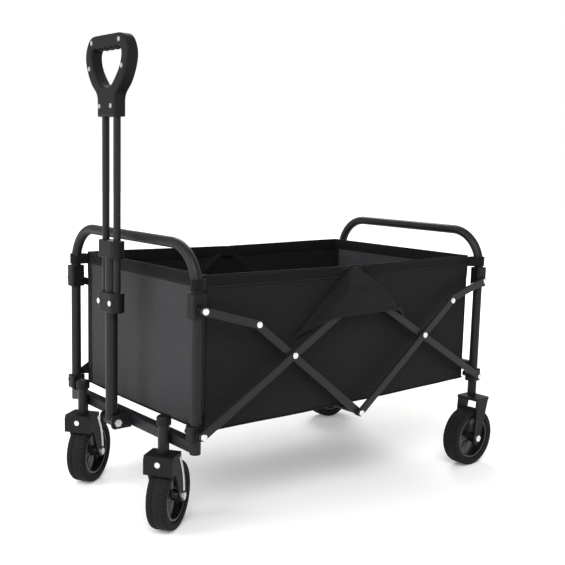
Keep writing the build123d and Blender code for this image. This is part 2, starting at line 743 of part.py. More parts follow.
def grip_half(is_front):
    """The front or back half of the D-shaped grip, split at the middle of the rods."""
    neck = NECK_WIDTH / 2
    with BuildPart() as half:
        with BuildSketch(handle_face(HANDLE_X)):
            with BuildLine():
                Polyline(*above_foot((0, 0), (neck, 0), (neck, NECK_HEIGHT)))
                Spline(
                    *above_foot((neck, NECK_HEIGHT), *GRIP_SIDE),
                    (GRIP_TOP_HALF, GRIP_Z[1]),
                    tangents=((0, 1), (-1, 0)),
                )
                Line((GRIP_TOP_HALF, GRIP_Z[1]), (0, GRIP_Z[1]))
                mirror(about=Plane.YZ)
            make_face()
            with BuildLine(mode=Mode.PRIVATE) as hole:
                corner = (GRIP_TOP_HALF, HOLE_TOP)
                Spline(
                    *above_foot((0, HOLE_FOOT), *HOLE_SIDE, corner),
                    tangents=((1, 0), (-1, 0.05)),
                )
                Line(*above_foot(corner, (0, HOLE_TOP)))
                mirror(about=Plane.YZ)
            make_face(hole.edges(), mode=Mode.SUBTRACT)
            with Locations(*above_foot(*[(across, FINGER_BUMP_Z) for across in FINGER_BUMPS])):
                Circle(FINGER_BUMP_R)
        extrude(amount=GRIP_THICK / 2 if is_front else -GRIP_THICK / 2)
        rims = half.faces().filter_by(Axis.X).sort_by(Axis.X)
        fillet(rims[0 if is_front else -1].edges(), GRIP_EDGE)
        with BuildSketch(Plane.XY.offset(GRIP_Z[0])):
            with Locations((HANDLE_X, -ROD_Y), (HANDLE_X, ROD_Y)):
                Circle(ROD_D / 2)
        extrude(amount=ROD_Z[1] - GRIP_Z[0], mode=Mode.SUBTRACT)
        if is_front:
            for radius, deep in ((SCREW_HEAD_R + SCREW_FIT, SCREW_SINK), (SCREW_R, SCREW_DEPTH)):
                with BuildSketch(handle_face(GRIP_FRONT_X)):
                    with Locations(*above_foot(*GRIP_SCREWS)):
                        Circle(radius)
                extrude(amount=-deep, mode=Mode.SUBTRACT)
    return half


save(grip_half(True), "grip_front")
save(grip_half(False), "grip_back")

with BuildPart() as screws:
    for radius, start, length in (
        (SCREW_HEAD_R, SCREW_SINK, SCREW_SINK + SCREW_HEAD_STANDS),
        (SCREW_R, SCREW_DEPTH, SCREW_DEPTH - SCREW_SINK),
    ):
        with BuildSketch(handle_face(GRIP_FRONT_X + start)):
            with Locations(*above_foot(*GRIP_SCREWS)):
                Circle(radius)
        extrude(amount=length)
save(screws, "grip_screws")


# ---------------------------------------------------------------- fabric basket
def panel(low, high):
    """A flat fabric panel as a closed plate between two corners."""
    with BuildPart() as plate:
        with Locations(low):
            Box(*(b - a for a, b in zip(low, high)), align=(Align.MIN, Align.MIN, Align.MIN))
    return plate


inside_y = BASKET_Y - PANEL_THICK
save(
    panel(
        (BASKET_FRONT_X, -inside_y, BASKET_BOTTOM_Z),
        (BASKET_FRONT_X + PANEL_THICK, inside_y, BASKET_TOP_Z),
    ),
    "basket_front",
)
save(
    panel(
        (BASKET_REAR_X - PANEL_THICK, -inside_y, BASKET_BOTTOM_Z),
        (BASKET_REAR_X, inside_y, BASKET_TOP_Z),
    ),
    "basket_rear",
)
side_panel = panel(
    (BASKET_FRONT_X, -BASKET_Y, BASKET_BOTTOM_Z), (BASKET_REAR_X, -inside_y, BASKET_TOP_Z)
)
left_and_right(side_panel, "basket_side")
save(
    panel(
        (BASKET_FRONT_X + PANEL_THICK, -inside_y, BASKET_BOTTOM_Z),
        (BASKET_REAR_X - PANEL_THICK, inside_y, BASKET_BOTTOM_Z + PANEL_THICK),
    ),
    "basket_floor",
)
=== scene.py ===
"""Folding camp wagon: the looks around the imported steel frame. Basket, webbing, wheels, forks,
finishes, studio and camera."""
import json
import math

import bmesh
import bpy
import numpy as np
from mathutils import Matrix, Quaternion, Vector


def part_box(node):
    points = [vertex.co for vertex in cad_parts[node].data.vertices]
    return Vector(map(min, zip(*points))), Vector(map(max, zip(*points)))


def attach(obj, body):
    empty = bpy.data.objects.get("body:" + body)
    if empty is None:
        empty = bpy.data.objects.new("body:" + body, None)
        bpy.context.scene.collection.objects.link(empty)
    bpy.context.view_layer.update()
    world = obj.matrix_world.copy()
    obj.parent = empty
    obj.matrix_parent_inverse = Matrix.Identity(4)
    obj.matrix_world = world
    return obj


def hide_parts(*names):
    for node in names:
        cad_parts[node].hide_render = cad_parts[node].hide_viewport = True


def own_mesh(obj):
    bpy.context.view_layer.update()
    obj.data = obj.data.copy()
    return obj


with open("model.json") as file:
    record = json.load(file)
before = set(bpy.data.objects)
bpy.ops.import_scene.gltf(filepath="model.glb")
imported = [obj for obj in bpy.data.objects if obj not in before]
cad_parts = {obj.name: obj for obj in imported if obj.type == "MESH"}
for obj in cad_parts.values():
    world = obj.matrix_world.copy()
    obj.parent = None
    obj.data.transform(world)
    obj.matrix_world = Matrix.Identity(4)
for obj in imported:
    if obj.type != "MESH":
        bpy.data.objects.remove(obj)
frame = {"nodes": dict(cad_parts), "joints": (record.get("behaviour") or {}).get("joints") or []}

bl_info = {
    "name": "Folding camp wagon",
    "version": (1, 0, 0),
    "blender": (4, 5, 0),
    "location": "3D View > Sidebar > Wagon",
    "description": "Builds the basket, wheels, finishes and studio of a folding camp wagon",
    "category": "Object",
}

MM = 0.001
LEFT, RIGHT = -1, 1
SIDES = ((LEFT, "left"), (RIGHT, "right"))

# ---------------------------------------------------------------- places read from the frame
JOINTS = {joint["name"]: joint for joint in frame["joints"]}


def middle(node):
    """The middle of a CAD node's box."""
    low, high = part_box(node)
    return (low + high) / 2


FRONT_X = middle("front_hoop").x
REAR_X = middle("rear_hoop").x
MIDDLE_X = (FRONT_X + REAR_X) / 2
POST_R = (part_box("front_hoop")[1].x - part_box("front_hoop")[0].x) / 2
POST_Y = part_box("front_hoop")[1].y - POST_R
WALL_LOW, WALL_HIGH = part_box("basket_side_left")
BASKET_FRONT, BASKET_REAR = WALL_LOW.x, WALL_HIGH.x
BASKET_FOOT, BASKET_TOP = WALL_LOW.z, WALL_HIGH.z
WALL_Y = -(WALL_LOW.y + WALL_HIGH.y) / 2  # a side wall's middle surface
ARCH = Vector(JOINTS["arch_pivot"]["pos_m"])
CROSSING_Z = JOINTS["front_crossing_pivot"]["pos_m"][2]
CROSSING_REACH = MIDDLE_X - JOINTS["front_crossing_pivot"]["pos_m"][0]
WHEEL_R = middle("rear_tyre_left").z
WHEEL_HALF = (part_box("rear_tyre_left")[1].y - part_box("rear_tyre_left")[0].y) / 2
HUB_R = (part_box("rear_hub_left")[1].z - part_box("rear_hub_left")[0].z) / 2


# ---------------------------------------------------------------- what a user may change
def length(label, description, millimetres):
    return bpy.props.FloatProperty(
        name=label, description=description, default=millimetres * MM, subtype="DISTANCE",
        unit="LENGTH", precision=4,
    )


def linear(code):
    """An sRGB hex colour as linear red, green and blue, by the sRGB transfer curve."""
    srgb = np.array([int(code[i : i + 2], 16) for i in (1, 3, 5)]) / 255
    return np.where(srgb <= 0.04045, srgb / 12.92, ((srgb + 0.055) / 1.055) ** 2.4).tolist()


def colour(label, description, code):
    return bpy.props.FloatVectorProperty(
        name=label, description=description, default=linear(code), subtype="COLOR", size=3,
        min=0, max=1,
    )


class BasketSettings(bpy.types.PropertyGroup):
    cloth: length("Cloth thickness", "Thickness of the coated cloth", 1.2)
    belly: length("Belly", "How far a wall stands out at its middle", 3.0)
    ripple: length("Ripple", "Height of the slack ripples in the walls", 1.6)
    crease: length("Crease", "Depth of the pulled creases", 4.0)
    hem: length("Hem", "Height of the folded hem round the top", 24.0)
    piping: length("Piping", "Diameter of the corded piping in the seams", 4.2)
    flap_reach: length("Flap reach", "How far the flap stands out to pass over the arch", 38.4)
    flap_drop: length("Flap drop", "Height of the flap's lower edge below the arch pivot", 41.0)
    webbing: length("Webbing", "Width of the corner webbing", 20.0)
    tab: length("Tab", "Height of the tabs that hold the basket's lower corners", 12.0)
    stitch: length("Stitch", "Distance from one stitch to the next", 5.0)


class WheelSettings(bpy.types.PropertyGroup):
    groove: length("Groove", "Depth of the tread's grooves", 1.7)
    blocks: bpy.props.IntProperty(
        name="Tread blocks", description="Shoulder blocks round a tyre", default=40, min=8
    )
    ribs: bpy.props.IntProperty(
        name="Ribs", description="Ribs on each face of a hub", default=5, min=3
    )
    web: length("Web", "Half thickness of the hub's web between the ribs", 3.5)
    strip: length("Strip", "Width of the bright strip on a caster's leg", 6.0)
    bow: length("Bow", "How far that strip bows backwards", 5.0)


class ColourSettings(bpy.types.PropertyGroup):
    steel: colour("Frame", "Powder-coated steel", "#161719")
    links: colour("Links", "Powder-coated links", "#1d1d1f")
    moulding: colour("Mouldings", "Black nylon mouldings", "#0d0d0e")
    hub: colour("Hubs", "Black polypropylene hubs", "#0f0f10")
    tyre: colour("Tyres", "Black rubber", "#141414")
    zinc: colour("Rivets", "Zinc-plated rivets and bolts", "#dcdcda")
    cloth: colour("Side cloth", "Coated polyester of the sides and floor", "#161617")
    # The ends are the same coated polyester as the sides, painted lighter: painted light for the key
    # light that falls on them.
    painted_lighter_ends: colour("End cloth", "Coated polyester of the ends", "#313133")
    trim: colour("Trim", "Binding, piping and webbing", "#0e0e0f")
    thread: colour("Thread", "Sewing thread", "#3a3a3b")
    floor: colour("Studio floor", "Pale studio floor", "#f4f4f3")


def basket():
    return bpy.context.scene.wagon_basket


def wheels():
    return bpy.context.scene.wagon_wheels


def colours():
    return bpy.context.scene.wagon_colours


# ---------------------------------------------------------------- materials
def add(material, kind, values=None, **settings):
    """Adds one node. values sets its inputs by name or number, and links those that are sockets."""
    node = material.node_tree.nodes.new(kind)
    for name, value in settings.items():
        setattr(node, name, value)
    for key, value in (values or {}).items():
        if isinstance(value, bpy.types.NodeSocket):
            material.node_tree.links.new(value, node.inputs[key])
        else:
            node.inputs[key].default_value = value
    return node


def start(name, rgb, **constants):
    """A new material and its shader, with its plain values set on the shader's own sockets."""
    material = bpy.data.materials.new(name)
    material.use_nodes = True
    shader = material.node_tree.nodes["Principled BSDF"]
    shader.inputs["Base Color"].default_value = (*rgb, 1)
    for key, value in constants.items():
        shader.inputs[key.replace("_", " ").title().replace("Ior", "IOR")].default_value = value
    return material, shader


def shades(material, shader, rgb, fac, low, high):
    """Base colour between low and high times rgb, by fac."""
    mix = add(material, "ShaderNodeMix", {
        "Factor": fac,
        6: (*[c * low for c in rgb], 1),
        7: (*[min(1, c * high) for c in rgb], 1),
    }, data_type="RGBA")
    material.node_tree.links.new(mix.outputs[2], shader.inputs["Base Color"])


def roughness(material, shader, fac, low, high):
    spread = add(material, "ShaderNodeMapRange", {0: fac, 3: low, 4: high})
    material.node_tree.links.new(spread.outputs[0], shader.inputs["Roughness"])


def relief(material, shader, height, depth, strength=1.0):
    values = {"Height": height, "Distance": depth, "Strength": strength}
    bump = add(material, "ShaderNodeBump", values)
    material.node_tree.links.new(bump.outputs[0], shader.inputs["Normal"])


def place(material, channel="Object"):
    return add(material, "ShaderNodeTexCoord").outputs[channel]


def noise(material, where, size, detail):
    """Cloudy noise whose patches are about size metres across."""
    values = {"Vector": where, "Scale": 1 / size, "Detail": detail}
    return add(material, "ShaderNodeTexNoise", values).outputs[0]


def powder_coat(name, rgb, gloss):
    """Powder-coated steel, sprayed and baked: an even satin black whose skin is a shallow orange
    peel, about 2 mm from crest to crest, with a little dust that dulls it in patches."""
    material, shader = start(name, rgb, specular_ior_level=0.17)
    where = place(material)
    peel = noise(material, where, 2 * MM, 1)
    dust = noise(material, where, 60 * MM, 4)
    shades(material, shader, rgb, dust, 0.85, 1.2)
    roughness(material, shader, dust, gloss - 0.08, gloss + 0.12)
    relief(material, shader, peel, 0.12 * MM)
    return material


def moulded(name, rgb, rough, grain, shine=0.16):
    """Injection-moulded plastic from a spark-eroded mould: dull, with a fine pebble grain that
    breaks up the highlights. The real grain, about 0.4 mm, is drawn coarser so that it shows."""
    material, shader = start(name, rgb, specular_ior_level=shine)
    where = place(material)
    pebble = add(material, "ShaderNodeTexVoronoi", {"Vector": where, "Scale": 1 / (grain * MM)})
    cloud = noise(material, where, 35 * MM, 3)
    shades(material, shader, rgb, cloud, 0.8, 1.25)
    roughness(material, shader, cloud, rough - 0.07, rough + 0.1)
    relief(material, shader, pebble.outputs[0], 0.12 * MM)
    return material


def rubber(name, rgb):
    """Moulded tyre rubber: dull charcoal, greyer where it has rolled, with a fine tooth."""
    material, shader = start(name, rgb, specular_ior_level=0.12)
    where = place(material)
    tooth = noise(material, where, 1.5 * MM, 2)
    scuff = noise(material, where, 14 * MM, 5)
    shades(material, shader, rgb, scuff, 0.7, 1.7)
    roughness(material, shader, scuff, 0.62, 0.85)
    relief(material, shader, tooth, 0.25 * MM)
    return material


def zinc_plate(name, rgb):
    """Bright zinc-plated steel: white metal with a soft crystalline mottle, which keeps its
    highlights from being mirror sharp."""
    material, shader = start(name, rgb, metallic=1.0)
    where = place(material)
    mottle = noise(material, where, 3 * MM, 3)
    shades(material, shader, rgb, mottle, 0.82, 1.05)
    roughness(material, shader, mottle, 0.2, 0.38)
    relief(material, shader, mottle, 0.05 * MM)
    return material


def woven(name, rgb, thread, depth, rough, sheen):
    """Plain-woven yarn laid over and under: rows of rounded threads that turn by squares, from the
    piece's own UV map in metres. It gives a dull face with a faint sheen at grazing angles."""
    material, shader = start(
        name, rgb, sheen_weight=sheen, sheen_roughness=0.45, specular_ior_level=0.08,
    )
    uv = place(material, "UV")
    axes = add(material, "ShaderNodeSeparateXYZ", {0: uv})
    ridges = []
    for axis in (0, 1):
        turn = add(material, "ShaderNodeMath", {0: axes.outputs[axis], 1: math.pi / thread},
                   operation="MULTIPLY")
        wave = add(material, "ShaderNodeMath", {0: turn.outputs[0]}, operation="SINE")
        ridges.append(add(material, "ShaderNodeMath", {0: wave.outputs[0]}, operation="ABSOLUTE"))
    squares = add(material, "ShaderNodeTexChecker", {"Vector": uv, "Scale": 1 / thread})
    weave = add(material, "ShaderNodeMix", {
        0: squares.outputs["Fac"], 2: ridges[0].outputs[0], 3: ridges[1].outputs[0],
    })
    cloud = noise(material, uv, 1 / 9, 5)
    slub = noise(material, uv, 4 * thread, 2)
    tone = add(material, "ShaderNodeMath", {0: cloud, 1: slub}, operation="MULTIPLY")
    shades(material, shader, rgb, tone.outputs[0], 0.75, 1.75)
    roughness(material, shader, cloud, rough - 0.06, rough + 0.08)
    relief(material, shader, weave.outputs[0], depth, 0.6)
    return material


def backdrop(name, rgb):
    """Matt white studio paint. It shows soft shadows near the wagon and glows to plain white a
    few metres out, so that no horizon shows."""
    material, shader = start(name, rgb, roughness=0.9, specular_ior_level=0.1)
    away = add(material, "ShaderNodeVectorMath", {0: place(material)}, operation="LENGTH")
    near, far = 0.9, 3.0  # metres from the wagon's middle
    dim, bright = 0.12, 0.7
    glow = add(material, "ShaderNodeMapRange", {
        0: away.outputs["Value"], 1: near, 2: far, 3: dim, 4: bright,
    }, interpolation_type="SMOOTHSTEP")
    material.node_tree.links.new(glow.outputs[0], shader.inputs["Emission Strength"])
    shader.inputs["Emission Color"].default_value = (1, 1, 1, 1)
    return material


def finishes():
    """Every finish of the wagon by name. The cloth is drawn with 2 mm threads and the webbing with
    2.5 mm ones, since the real 0.5 and 1 mm threads are too fine to show."""
    tone = colours()
    return {
        "steel": powder_coat("powder_coated_tube", tone.steel, 0.4),
        "links": powder_coat("powder_coated_links", tone.links, 0.33),
        "moulding": moulded("moulded_nylon", tone.moulding, 0.5, 1.0),
        "grip": moulded("grained_grip_nylon", tone.moulding, 0.58, 1.6),
        "hub": moulded("moulded_polypropylene", tone.hub, 0.28, 1.2, 0.45),
        "tyre": rubber("moulded_rubber", tone.tyre),
        "zinc": zinc_plate("zinc_plated_steel", tone.zinc),
        "cloth": woven("coated_polyester", tone.cloth, 2 * MM, 0.16 * MM, 0.62, 0.02),
        # Same coated polyester as the sides; its lighter colour is painted light for the light falling
        # on the ends.
        "painted_lighter_ends": woven("coated_polyester_painted_lighter_ends", tone.painted_lighter_ends, 2 * MM, 0.16 * MM, 0.6, 0.03),
        "webbing": woven("woven_webbing", tone.trim, 2.5 * MM, 0.4 * MM, 0.65, 0.03),
        "thread": woven("twisted_thread", tone.thread, 1 * MM, 0.2 * MM, 0.6, 0.03),
    }


FINISH = {}


def finish(name):
    if not FINISH:
        FINISH.update(finishes())
    return FINISH[name]


# ---------------------------------------------------------------- meshes from grids
def smoothstep(x):
    """0 below 0, 1 above 1, and 3x^2 - 2x^3 between."""
    x = np.clip(x, 0, 1)
    return x * x * (3 - 2 * x)


def quads(rows, columns, wrap_rows, wrap_columns):
    """Corner numbers of a grid's cells, going round each from rows towards columns."""
    i = np.arange(rows if wrap_rows else rows - 1)[:, None]
    j = np.arange(columns if wrap_columns else columns - 1)[None, :]
    i2, j2 = (i + 1) % rows, (j + 1) % columns
    corners = (i * columns + j, i2 * columns + j, i2 * columns + j2, i * columns + j2)
    shape = np.broadcast_shapes(i.shape, j.shape)
    return np.stack([np.broadcast_to(c, shape) for c in corners], -1)


class Patch:
    """A grid of points, shape (rows, columns, 3), closed round either way if wrap says so. uv is in
    metres. caps closes the first and last row with a flat face each."""

    def __init__(self, points, wrap=(False, False), uv=None, caps=False):
        self.points, self.wrap, self.caps = np.asarray(points, float), wrap, caps
        rows, columns = self.points.shape[:2]
        if uv is None:
            along = np.linalg.norm(np.diff(self.points, axis=0, prepend=self.points[:1]), axis=2)
            across = np.linalg.norm(
                np.diff(self.points, axis=1, prepend=self.points[:, :1]), axis=2
            )
            uv = np.stack([np.cumsum(along, 0), np.cumsum(across, 1)], -1)
        self.uv = np.asarray(uv, float)
        self.quads = quads(rows, columns, *wrap).reshape(-1, 4)


def make(name, patches, material, body=None, thickness=0.0, sharp=40):
    """One object from patches. It welds touching points, turns the faces outwards and may give
    the surface a wall thickness."""
    points = np.concatenate([p.points.reshape(-1, 3) for p in patches])
    uvs = np.concatenate([p.uv.reshape(-1, 2) for p in patches])
    faces, offset = [], 0
    for patch in patches:
        rows, columns = patch.points.shape[:2]
        faces += (patch.quads + offset).tolist()
        if patch.caps:
            faces.append((np.arange(columns)[::-1] + offset).tolist())
            faces.append((np.arange(columns) + offset + (rows - 1) * columns).tolist())
        offset += rows * columns
    mesh = bpy.data.meshes.new(name)
    mesh.from_pydata(points, [], faces)
    layer = mesh.uv_layers.new(name="cloth")
    corner = np.zeros(len(mesh.loops), np.int32)
    mesh.loops.foreach_get("vertex_index", corner)
    layer.data.foreach_set("uv", uvs[corner].ravel())
    work = bmesh.new()
    work.from_mesh(mesh)
    bmesh.ops.remove_doubles(work, verts=work.verts, dist=1e-6)
    bmesh.ops.recalc_face_normals(work, faces=work.faces)
    work.to_mesh(mesh)
    work.free()
    mesh.shade_smooth()
    mesh.set_sharp_from_angle(angle=math.radians(sharp))
    mesh.materials.append(material)
    piece = bpy.data.objects.new(name, mesh)
    bpy.context.scene.collection.objects.link(piece)
    if thickness:
        wall = piece.modifiers.new("cloth thickness", "SOLIDIFY")
        wall.thickness, wall.offset = thickness, 0
    if body:
        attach(piece, body)
    return piece


def circle(radius, count=10, squash=1.0):
    """A closed round profile as (across, up) points."""
    angle = np.arange(count) * 2 * np.pi / count
    return np.stack([radius * np.cos(angle), radius * squash * np.sin(angle)], -1)


def oblong(width, height, corner, count=4):
    """A closed rectangle with round corners as (across, up) points."""
    angle = np.linspace(0, np.pi / 2, count)
    arc = np.stack([np.cos(angle), np.sin(angle)], -1) * corner
    inset = np.array([width / 2 - corner, height / 2 - corner])
    parts = []
    for turn, quarter in enumerate(((1, 1), (-1, 1), (-1, -1), (1, -1))):
        c, s = np.cos(turn * np.pi / 2), np.sin(turn * np.pi / 2)
        parts.append(arc @ np.array([[c, s], [-s, c]]) + inset * quarter)
    return np.concatenate(parts)


def carry(profile, path, up, closed=False):
    """A profile carried along a path: across is square to the path and to up, up is kept level
    with the given direction as far as the path allows. up is one direction or one for each point."""
    path = np.asarray(path, float)
    if closed:
        ahead = np.roll(path, -1, 0) - np.roll(path, 1, 0)
    else:
        ahead = np.gradient(path, axis=0)
    ahead /= np.linalg.norm(ahead, axis=1)[:, None]
    up = np.broadcast_to(np.asarray(up, float), path.shape)
    across = np.cross(ahead, up)
    across /= np.linalg.norm(across, axis=1)[:, None]
    over = np.cross(across, ahead)
    sideways, upwards = profile[None, :, :1], profile[None, :, 1:]
    points = path[:, None] + sideways * across[:, None] + upwards * over[:, None]
    return Patch(points, wrap=(closed, True), caps=not closed)


def read_off(rows, run, places):
    """Rows of three values given along a run, read off between them at places."""
    return np.stack([np.interp(places, run, rows[:, k]) for k in range(3)], -1)


def stitches(path, normal, pitch):
    """A row of thread stitches along a path: one short four-sided lozenge for each pitch of its
    length, half sunk in the cloth."""
    path = np.asarray(path, float)
    run = np.concatenate([[0], np.cumsum(np.linalg.norm(np.diff(path, axis=0), axis=1))])
    count = max(2, int(run[-1] / pitch))
    middle_run = (np.arange(count) + 0.5) * run[-1] / count
    normal = np.broadcast_to(np.asarray(normal, float), path.shape)
    shape = np.array([[-1, 0], [-0.6, 1], [0.6, 1], [1, 0]])
    half, radius = 0.34 * pitch, 0.42 * MM
    thinnest = 0.15  # share of the radius left at a stitch's two ends
    ring = np.array([[1, 0], [0, 1], [-1, 0], [0, -1]])
    at = [read_off(path, run, middle_run + half * place) for place, _ in shape]
    ahead = at[-1] - at[0]
    ahead /= np.linalg.norm(ahead, axis=1)[:, None]
    out = read_off(normal, run, middle_run)
    side = np.cross(out, ahead)
    points = np.zeros((count, 4, 4, 3))
    for row, (_, share) in enumerate(shape):
        for column, (a, b) in enumerate(ring):
            thick = radius * max(share, thinnest)
            points[:, row, column] = at[row] + thick * (a * side + b * out)
    return [Patch(p, wrap=(False, True), caps=True) for p in points]


# ---------------------------------------------------------------- basket
HEM_THICK = 2.8 * MM
HEM_SEAMS = (0.14, 0.86)  # shares of the hem's height, down from the top
ON_HEM = 1.45 * MM  # from a wall's middle surface to the stitches on its hem
FLOOR_FOLDS = 4
FLAP_HALF = 165 * MM  # half the length of a flap's lower edge
FLAP_TIP = 0.06  # width of a flap's top, as a share of its lower edge


def crease(x, z, start_point, end_point, width):
    """How strongly a point feels a crease: a bell across the line from start to end, that fades
    towards its end."""
    (ax, az), (bx, bz) = start_point, end_point
    dx, dz = bx - ax, bz - az
    t = np.clip(((x - ax) * dx + (z - az) * dz) / (dx * dx + dz * dz), 0, 1)
    away = np.hypot(x - ax - t * dx, z - az - t * dz)
    return np.exp(-((away / width) ** 2)) * (1 - 0.6 * t)


def side_out(x, z):
    """How far a side wall stands out from its flat cut. A belly, slack ripples that die out at the
    hem and corners, a dent along the two folds from the middle of the top to the crossings, a
    swell under the flap, and a flare at the foot."""
    cloth = basket()
    u = (x - BASKET_FRONT) / (BASKET_REAR - BASKET_FRONT)
    v = (z - BASKET_FOOT) / (BASKET_TOP - BASKET_FOOT)
    q = (x - MIDDLE_X) / CROSSING_REACH
    bell = np.sin(np.pi * np.clip(u, 0, 1)) * np.sin(np.pi * np.clip(v, 0, 1))
    out = cloth.belly * bell
    slack = np.clip(u * (1 - u) * 10, 0, 1) * np.clip((1 - v) * 6, 0, 1)
    long_wave = np.sin(9.3 * u + 4 * v) * np.sin(5.1 * v + 2.0 * u + 0.6)
    short_wave = np.sin(21 * u - 7 * v + 1.3)
    out += cloth.ripple * slack * (long_wave + 0.5 * short_wave)
    top = (MIDDLE_X, BASKET_TOP - 8 * MM)
    for end in (-1, 1):
        cross = (MIDDLE_X + end * CROSSING_REACH, CROSSING_Z)
        out -= cloth.crease * crease(x, z, top, cross, 9 * MM)
        corner = (BASKET_FRONT if end < 0 else BASKET_REAR, BASKET_TOP - 30 * MM)
        out += 0.5 * cloth.crease * crease(x, z, corner, cross, 16 * MM)
        foot = (MIDDLE_X + end * 1.9 * CROSSING_REACH, BASKET_FOOT)
        out += 0.4 * cloth.crease * crease(x, z, foot, cross, 14 * MM)
    swell, flare = 7 * MM, 4 * MM
    out += swell * np.exp(-((q / 0.55) ** 2)) * np.exp(-(((v - 0.62) / 0.2) ** 2))
    out += flare * smoothstep(1 - v / 0.45) * np.sin(np.pi * np.clip(u, 0, 1))
    return out


def side_sag(u):
    """How far the top and the foot of a side wall hang down along its length."""
    return 3 * MM * np.sin(np.pi * u) ** 2


def side_point(u, v, side):
    """A point of a side wall: u along the wagon, v up, its cut between straight corners."""
    x = BASKET_FRONT + u * (BASKET_REAR - BASKET_FRONT)
    z = BASKET_FOOT + v * (BASKET_TOP - BASKET_FOOT) - side_sag(u) * (v + 0.6 * (1 - v))
    return np.stack([x, side * (WALL_Y + side_out(x, z)), z], -1)


def end_point(v, h, end):
    """A point of an end wall: h across from -1 to 1, v up. It bellies a little and its foot draws
    in between the corners."""
    cloth = basket()
    inset, sag = 1.5 * MM, 2 * MM
    x = (BASKET_FRONT + inset) if end < 0 else (BASKET_REAR - inset)
    bell = np.cos(np.pi * h / 2) * np.sin(np.pi * np.clip(v, 0, 1))
    slack = np.clip((1 - h * h) * 3, 0, 1) * np.clip((1 - v) * 6, 0, 1)
    wave = np.sin(4.2 * h + 5 * v) * np.sin(6 * v + 0.4)
    out = 1.3 * cloth.belly * bell + 0.5 * cloth.ripple * slack * wave
    z = BASKET_FOOT + v * (BASKET_TOP - BASKET_FOOT) - sag * np.cos(np.pi * h / 2) * (1 - v)
    return np.stack([x + end * out, h * WALL_Y, z], -1)


def grid(rows, columns):
    """Two arrays of shape (rows, columns), each running evenly from 0 to 1."""
    return np.meshgrid(np.linspace(0, 1, rows), np.linspace(0, 1, columns), indexing="ij")


def fold_with_sides(piece):
    """Gives a piece of the cloth between the ends a mesh of its own. The real cloth closes up towards
    the front as the frame closes; nothing here makes it do so.
    """
    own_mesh(piece)


def hem(path, up, height, thickness):
    """A folded hem that wraps the edge of a wall."""
    return carry(oblong(thickness, height, 0.45 * thickness), path, up)


class WAGON_OT_side_walls(bpy.types.Operator):
    """Sew the two side walls, with their hems, piping and stitching"""

    bl_idname = "wagon.side_walls"
    bl_label = "Side walls"

    def execute(self, context):
        cloth = basket()
        u, v = grid(260, 100)
        size = (BASKET_REAR - BASKET_FRONT, BASKET_TOP - BASKET_FOOT)
        for side, word in SIDES:
            uv = np.stack([u * size[0], v * size[1]], -1)
            wall = make(f"side_wall_{word}", [Patch(side_point(u, v, side), uv=uv)],
                        finish("cloth"), "front_frame", cloth.cloth)
            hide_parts(f"basket_side_{word}")
            along = np.linspace(0, 1, 160)
            share = cloth.hem / size[1]
            middle_line = side_point(along, np.full_like(along, 1 - share / 2), side)
            band = make(f"side_hem_{word}", [hem(middle_line, (0, 0, 1), cloth.hem, HEM_THICK)],
                        finish("webbing"), "front_frame")
            foot_line = side_point(along, np.zeros_like(along), side)
            piping = make(f"side_foot_piping_{word}", [
                carry(circle(cloth.piping / 2), foot_line, (0, 0, 1))
            ], finish("webbing"), "front_frame")
            rows = []
            for seam in HEM_SEAMS:
                line = side_point(along, np.full_like(along, 1 - share * seam), side)
                rows += stitches(line + [0, side * ON_HEM, 0], (0, side, 0), cloth.stitch)
            sewing = make(f"side_stitching_{word}", rows, finish("thread"), "front_frame")
            for piece in (wall, band, piping, sewing):
                fold_with_sides(piece)
        return {"FINISHED"}


class WAGON_OT_end_walls(bpy.types.Operator):
    """Sew the front and back walls, with bound margins, hems and piping"""

    bl_idname = "wagon.end_walls"
    bl_label = "End walls"

    def execute(self, context):
        cloth = basket()
        v, h = grid(90, 140)
        size = (2 * WALL_Y, BASKET_TOP - BASKET_FOOT)
        # Places across a wall, as shares of its half width.
        margin_at, margin_seam_at, hem_seam_end = 0.965, 0.935, 0.93
        on_margin = 1.35 * MM
        for end, word, body in ((-1, "front", "front_frame"), (1, "rear", "rear_frame")):
            uv = np.stack([h * size[0], v * size[1]], -1)
            # The end walls take the lighter end cloth, whose extra lightness is painted light.
            wall = make(f"{word}_wall", [Patch(end_point(v, 2 * h - 1, end), uv=uv)],
                        finish("painted_lighter_ends"), body, cloth.cloth)
            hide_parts(f"basket_{word}")
            across = np.linspace(-1, 1, 120)
            share = cloth.hem / size[1]
            top_line = end_point(np.full_like(across, 1 - share / 2), across, end)
            band = make(f"{word}_hem", [hem(top_line, (0, 0, 1), cloth.hem, HEM_THICK)],
                        finish("webbing"), body)
            cord = circle(cloth.piping / 2)
            foot_line = end_point(np.zeros_like(across), across, end)
            foot = make(f"{word}_foot_piping", [carry(cord, foot_line, (0, 0, 1))],
                        finish("webbing"), body)
            up = np.linspace(0, 1, 60)
            margins, corners, rows = [], [], []
            for side, _ in SIDES:
                line = end_point(up, np.full_like(up, side * margin_at), end)
                margins.append(carry(oblong(2.6 * MM, 15 * MM, 1.1 * MM), line, (0, 1, 0)))
                corner = end_point(up, np.full_like(up, side), end)
                corners.append(carry(cord, corner, (0, 1, 0)))
                line = end_point(up, np.full_like(up, side * margin_seam_at), end)
                rows += stitches(line + [end * on_margin, 0, 0], (end, 0, 0), cloth.stitch)
            for seam in HEM_SEAMS:
                level = np.full_like(across, 1 - share * seam)
                line = end_point(level, across * hem_seam_end, end)
                rows += stitches(line + [end * ON_HEM, 0, 0], (end, 0, 0), cloth.stitch)
            binding = make(f"{word}_margins", margins, finish("webbing"), body)
            piping = make(f"{word}_corner_piping", corners, finish("webbing"), body)
            sewing = make(f"{word}_stitching", rows, finish("thread"), body)
        return {"FINISHED"}


